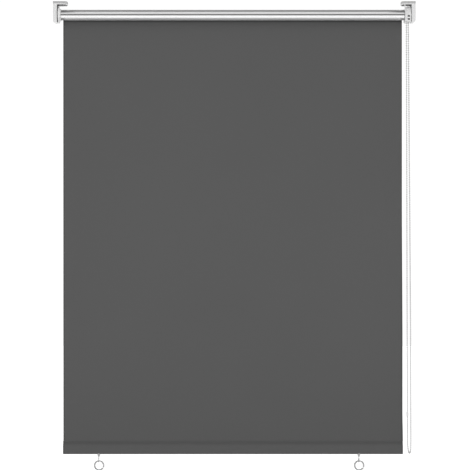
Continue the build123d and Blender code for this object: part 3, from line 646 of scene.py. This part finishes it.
def add_roll():
    """Turns of cloth that build up on the tube: they lie inside it at rest and move out as the hem is lifted."""
    low, high = PANEL_LOW.x + ROLL_INSET, PANEL_HIGH.x - RIGHT_SHY
    rng = np.random.default_rng(ROLL_SEED)
    widening = math.tan(math.pi / ROLL_SIDES)  # half a side's width at a radius of 1
    for i in range(ROLL_SIDES):
        inner, outer = (CORE_LOW, CORE_HIGH) if i in ROLL_SLOTS else (WALL_LOW, WALL_HIGH)
        angle = 2 * math.pi * i / ROLL_SIDES
        out = np.array([0.0, math.cos(angle), math.sin(angle)])
        across = np.array([0.0, -math.sin(angle), math.cos(angle)])
        far = outer + (ROLL_R - outer) / (1 - ROLL_KEEP)  # the squash's anchor, which carries outer to ROLL_R
        foot = (far + (inner - far) * ROLL_KEEP) * widening
        top = ROLL_R * widening
        section = ((inner, -foot), (outer, -top), (outer, -top / 3), (outer, top / 3), (outer, top), (inner, foot))
        lift = rng.normal(0, ROLL_ROUGHNESS, ROLL_COLUMNS + 1)
        points = []
        for c in range(ROLL_COLUMNS + 1):
            centre = np.array([low + (high - low) * c / ROLL_COLUMNS, 0, AXIS_Z])
            for r, t in section:
                r += lift[c] if r == outer else 0
                points.append(centre + r * out + t * across)
        faces = rod_faces(ROLL_COLUMNS + 1, len(section), flipped=True)
        side = add_mesh(f"cloth_turn_{i:02d}", points, faces, CLOTH, smooth=False)
        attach(side, "roller")
        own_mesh(side)


# ---------------------------------------------------------------- idle spring

COIL_X0, COIL_X1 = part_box("idle_spring")[0].x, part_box("idle_spring")[1].x
COIL_TURNS = 8
COIL_WIRE_R = 0.00045
COIL_STEPS = 24  # in each turn


def add_coil():
    """The spring behind the idle pin, which shortens as the pin is pressed in."""
    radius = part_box("idle_spring")[1].y - COIL_WIRE_R
    turn = np.linspace(0, COIL_TURNS * 2 * math.pi, COIL_TURNS * COIL_STEPS + 1)
    x0, x1 = COIL_X0 + COIL_WIRE_R, COIL_X1 - COIL_WIRE_R
    centres = np.stack(
        [x0 + (x1 - x0) * turn / turn[-1], radius * np.cos(turn), AXIS_Z + radius * np.sin(turn)], axis=1
    )
    directions = np.gradient(centres, axis=0)
    directions /= np.linalg.norm(directions, axis=1)[:, None]
    points, faces = tube_mesh(centres, directions, COIL_WIRE_R, WIRE_SIDES)
    coil = add_mesh("idle_coil", points, faces, ZINC)
    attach(coil, "roller")
    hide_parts("idle_spring")
    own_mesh(coil)


# ---------------------------------------------------------------- hem

HEM_COLUMNS = 220
HEM_SAG = 0.0022  # how far the pocket hangs below the bar
HEM_SKIN = 0.0010  # from the bar to the pocket's outer skin
WELD_H = 0.0045  # height of the welded band above the pocket
SEAM_GAP = CLOTH_T * 0.1  # half the gap that is left between the skins in the weld
SHOULDER_STEPS, SIDE_STEPS, ROUND_STEPS = 9, 6, 12
PUCKER = 0.06  # how much the pocket's depth varies just below the weld, as a share
PUCKER_BELOW, PUCKER_REACH = 0.008, 0.006  # where, below the hem's top, and over what height
PUCKER_RUN = 5  # columns over which the variation is smoothed
HEM_SEED = 7


def hem_outline(offset, neck):
    """Outline of a skin in Y and Z, from the weld down in front, round under the bar and up behind."""
    half_t = (BAR_HIGH.y - BAR_LOW.y) / 2 + offset
    half_h = (BAR_HIGH.z - BAR_LOW.z) / 2 + offset + HEM_SAG / 2
    straight = half_h - half_t
    mid_z = (BAR_LOW.z + BAR_HIGH.z) / 2 - HEM_SAG / 2
    shoulder_z = mid_z + straight
    weld_z = HEM_HIGH.z - WELD_H
    front = [(-neck, HEM_HIGH.z), (-neck, weld_z)]
    for i in range(1, SHOULDER_STEPS):
        t = i / SHOULDER_STEPS
        front.append((-neck - (half_t - neck) * eased(t, 0, 1), weld_z + (shoulder_z - weld_z) * t))
    for i in range(SIDE_STEPS + 1):
        front.append((-half_t, shoulder_z - 2 * straight * i / SIDE_STEPS))
    under = []
    for i in range(1, ROUND_STEPS):
        a = math.pi + math.pi * i / ROUND_STEPS
        under.append((half_t * math.cos(a), mid_z - straight + half_t * math.sin(a)))
    return front + under + [(-y, z) for y, z in reversed(front)]


def add_hem(panel):
    """The pocket: outer skin, inner skin and rims at both ends, welded above the bar."""
    outer = hem_outline(HEM_SKIN, CLOTH_T)
    inner = hem_outline(HEM_SKIN - CLOTH_T, SEAM_GAP)
    low, high = HEM_LOW.x, HEM_HIGH.x
    rng = np.random.default_rng(HEM_SEED)
    pucker = rng.normal(0, 1, HEM_COLUMNS + 1)
    pucker = np.convolve(pucker, np.ones(PUCKER_RUN) / PUCKER_RUN, mode="same")
    points = []
    for skin in (outer, inner):
        for c in range(HEM_COLUMNS + 1):
            x = low + (high - low) * c / HEM_COLUMNS
            for y, z in skin:
                near_weld = math.exp(-(((z - HEM_HIGH.z + PUCKER_BELOW) / PUCKER_REACH) ** 2))
                points.append((x, CLOTH_Y + y * (1 + PUCKER * pucker[c] * near_weld), z))
    hem = add_mesh("cloth_hem", points, sheet_faces(HEM_COLUMNS, len(outer)), HEM_CLOTH)
    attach(hem, "hem")
    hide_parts("hem_pocket")


# ---------------------------------------------------------------- split rings

RING_STEPS = 128
RING_TURNS = 1.94
RING_START = 0.03  # turns past the crossing where the wire begins
RING_CROSSING = math.radians(-28)  # where the two turns step over each other, from +X
RING_STEP_AT, RING_STEP_SHARE = 0.97, 0.07  # where along the wire it steps over, and how long that takes, in turns
RING_WIRE_W = 0.0028  # the flat wire's width across the ring
RING_WIRE_T = 0.00115  # its thickness along the ring's axis
RING_BEVEL = 0.00035
RING_GAP = 0.0001  # between the two turns
RING_SPLAY = 0.0018  # how far the front turn sits to the right of the rear one


def wire_section():
    """Bevelled outline of the flat wire: steps out from the ring's middle line and along its axis."""
    half_w, half_t = RING_WIRE_W / 2, RING_WIRE_T / 2
    section = []
    for sr, sy in ((1, 1), (-1, 1), (-1, -1), (1, -1)):
        corner = ((sr * half_w, sy * (half_t - RING_BEVEL)), (sr * (half_w - RING_BEVEL), sy * half_t))
        section += corner if sr * sy > 0 else corner[::-1]
    return section


def add_ring(side):
    """A key ring of two turns of flat wire that step over each other."""
    low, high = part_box(f"ring_{side}")
    centre = (low + high) / 2
    middle_r = (high.x - low.x) / 2 - RING_WIRE_W / 2
    section = wire_section()
    points = []
    for i in range(RING_STEPS + 1):
        turns = RING_TURNS * i / RING_STEPS
        angle = RING_CROSSING + 2 * math.pi * (turns + RING_START)
        half_step = RING_STEP_SHARE / 2
        ahead = eased(turns, RING_STEP_AT - half_step, RING_STEP_AT + half_step) - 0.5
        x, y = centre.x + (0.5 - ahead) * RING_SPLAY, centre.y + ahead * (RING_WIRE_T + RING_GAP)
        for dr, dy in section:
            r = middle_r + dr
            points.append((x + r * math.cos(angle), y + dy, centre.z + r * math.sin(angle)))
    ring = add_mesh(f"split_ring_{side}", points, rod_faces(RING_STEPS + 1, len(section)), NICKEL)
    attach(ring, f"{side}_ring")
    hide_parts(f"ring_{side}")


# ---------------------------------------------------------------- room

FLOOR_Z = -1.5
FLOOR_HALF = 7.0
# Light that the floor adds, from the front (-Y) to the back: pairs of place in metres and strength
FLOOR_GLOW = (
    (-7.0, 0.2), (-4.5, 0.05), (-2.7, 0.1), (-1.8, 1.4), (-0.9, 1.05), (-0.45, 0.1), (0.4, 0.1), (1.2, 0.85),
)
# Sky brightness by the height of its direction, from straight down (0) to straight up (1)
FRONT_SKY = ((0.4, 0.4), (0.5, 0.5), (0.7, 0.97), (0.87, 0.95), (0.94, 0.25), (1.0, 0.05))
BACK_SKY = ((0.4, 1.05), (0.6, 1.05), (0.7, 0.8), (0.88, 0.35), (1.0, 0.05))
SKY_BLEND = 0.1  # how far either side of the blind's plane one sky fades into the other


def ramp(nodes, stops, low, high):
    """A colour ramp whose stops are greys at places from low to high."""
    node = nodes.new("ShaderNodeValToRGB")
    elements = node.color_ramp.elements
    elements.remove(elements[1])
    elements[0].position = 0
    elements[0].color = (stops[0][1], stops[0][1], stops[0][1], 1)
    for place, grey in stops:
        element = elements.new((place - low) / (high - low))
        element.color = (grey, grey, grey, 1)
    return node


def add_floor():
    size = FLOOR_HALF
    points = [(-size, -size, FLOOR_Z), (size, -size, FLOOR_Z), (size, size, FLOOR_Z), (-size, size, FLOOR_Z)]
    surface = Surface("floor", (0.62, 0.62, 0.62), 0.9)
    y = surface.separate()[1]
    glow = ramp(surface.nodes, FLOOR_GLOW, -size, size)
    surface.join(surface.remap(y, 0, 1, start=-size, end=size), glow.inputs["Fac"])
    surface.join(glow.outputs["Color"], surface.shader.inputs["Emission Color"])
    surface.shader.inputs["Emission Strength"].default_value = 1
    floor = add_mesh("floor", points, [(0, 1, 2, 3)], surface.material, smooth=False)


def add_world():
    """A soft studio: a white wall behind the blind, a lit floor and a darker ceiling."""
    world = bpy.data.worlds.new("studio")
    world.use_nodes = True
    nodes, links = world.node_tree.nodes, world.node_tree.links
    split = nodes.new("ShaderNodeSeparateXYZ")
    links.new(nodes.new("ShaderNodeTexCoord").outputs["Generated"], split.inputs[0])
    height = nodes.new("ShaderNodeMapRange")
    height.inputs["From Min"].default_value = -1
    links.new(split.outputs["Z"], height.inputs["Value"])
    behind = nodes.new("ShaderNodeMapRange")
    behind.inputs["From Min"].default_value = -SKY_BLEND
    behind.inputs["From Max"].default_value = SKY_BLEND
    links.new(split.outputs["Y"], behind.inputs["Value"])
    mix = nodes.new("ShaderNodeMix")
    mix.data_type = "RGBA"
    links.new(behind.outputs["Result"], mix.inputs["Factor"])
    for stops, socket in ((FRONT_SKY, "A"), (BACK_SKY, "B")):
        sky = ramp(nodes, stops, 0, 1)
        links.new(height.outputs["Result"], sky.inputs["Fac"])
        links.new(sky.outputs["Color"], mix.inputs[socket])
    links.new(mix.outputs["Result"], nodes["Background"].inputs["Color"])
    bpy.context.scene.world = world


add_camera()
add_chain()
bpy.context.scene.view_settings.view_transform = "Standard"
dress_nodes()
add_hem(add_panel())
add_root()
add_roll()
add_coil()
for ring_side in ("left", "right"):
    add_ring(ring_side)
add_floor()
add_world()
